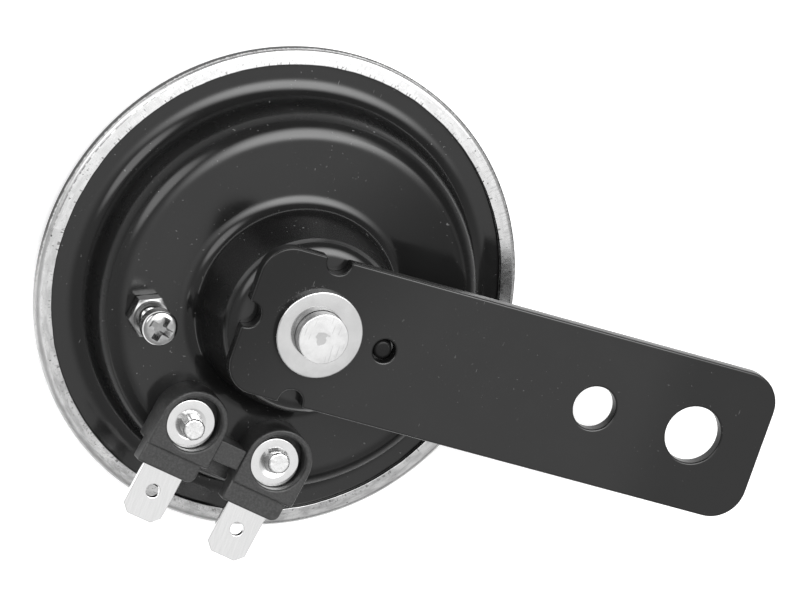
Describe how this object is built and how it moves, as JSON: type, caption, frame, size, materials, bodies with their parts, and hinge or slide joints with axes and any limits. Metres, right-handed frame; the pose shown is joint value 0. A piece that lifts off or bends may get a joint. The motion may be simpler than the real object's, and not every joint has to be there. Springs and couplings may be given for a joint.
{
  "type": "car horn",
  "caption": "Electromagnetic disc horn: black pressed shell with bright rolled rim, flat mounting bracket, blade terminals and a locked adjusting screw.",
  "frame": {"origin": "centre of the rim's front plane, on the horn's axis", "axes": "+Z along the horn's axis from the front plane to the back, +X along the mounting bracket"},
  "size_m": [0.1056, 0.0732, 0.0277],
  "materials": {
    "black_paint": "gloss black paint on drawn steel",
    "bright_rim": "bright plating with fine rolling marks",
    "zinc": "bright zinc plating",
    "bare_steel": "bare steel, lightly oiled",
    "spring_steel": "spring steel",
    "black_plastic": "matte moulded plastic",
    "bobbin_plastic": "natural moulded plastic",
    "fibre": "pressed fibre board",
    "gasket_rubber": "rubber gasket",
    "copper_wire": "enamelled copper wire",
    "brass": "brass strip",
    "tin": "tinned brass",
    "contact_metal": "contact alloy"
  },
  "bodies": {
    "shell": {"rim_ring": "bright_rim", "front_gasket": "gasket_rubber", "rear_gasket": "gasket_rubber", "housing": "black_paint", "diaphragm": "spring_steel", "bracket": "black_paint", "bracket_washer": "zinc", "fixed_core": "bare_steel", "coil_bobbin": "bobbin_plastic", "coil_winding": "copper_wire", "cover_plate": "bare_steel", "contact_insulator_upper": "fibre", "contact_insulator_lower": "fibre", "contact_clamp": "bare_steel", "contact_rivet_near": "brass", "contact_rivet_far": "brass", "moving_contact_arm": "brass", "moving_contact": "contact_metal", "fixed_contact_arm": "brass", "fixed_contact": "contact_metal", "screw_pad": "fibre", "coil_lead_a": "copper_wire", "coil_lead_b": "copper_wire", "lock_nut": "zinc", "terminal_block": "black_plastic", "terminal_insulator": "fibre", "blade_left": "tin", "blade_right": "tin", "terminal_washer_left": "zinc", "terminal_washer_right": "zinc", "terminal_rivet_left": "tin", "terminal_rivet_right": "tin", "inner_washer": "brass"},
    "striker": {"armature": "bare_steel", "armature_pusher": "fibre", "diaphragm_spacer": "zinc", "tone_disc": "zinc", "spring_washer": "spring_steel", "tone_disc_nut": "zinc"},
    "screw": {"adjusting_screw": "zinc"}
  },
  "joints": [
    {"name": "striker_stroke", "type": "slide", "parent": "shell", "child": "striker", "axis": [0, 0, 1], "range_m": [-0.0004, 0.0005], "stiffness_N_per_m": 20000, "deforming": ["diaphragm"]},
    {"name": "adjusting_screw_turn", "type": "hinge", "parent": "shell", "child": "screw", "pos_m": [-0.02061, -0.00648, 0.016], "axis": [0, 0, 1], "range_deg": [-180, 180]}
  ]
}
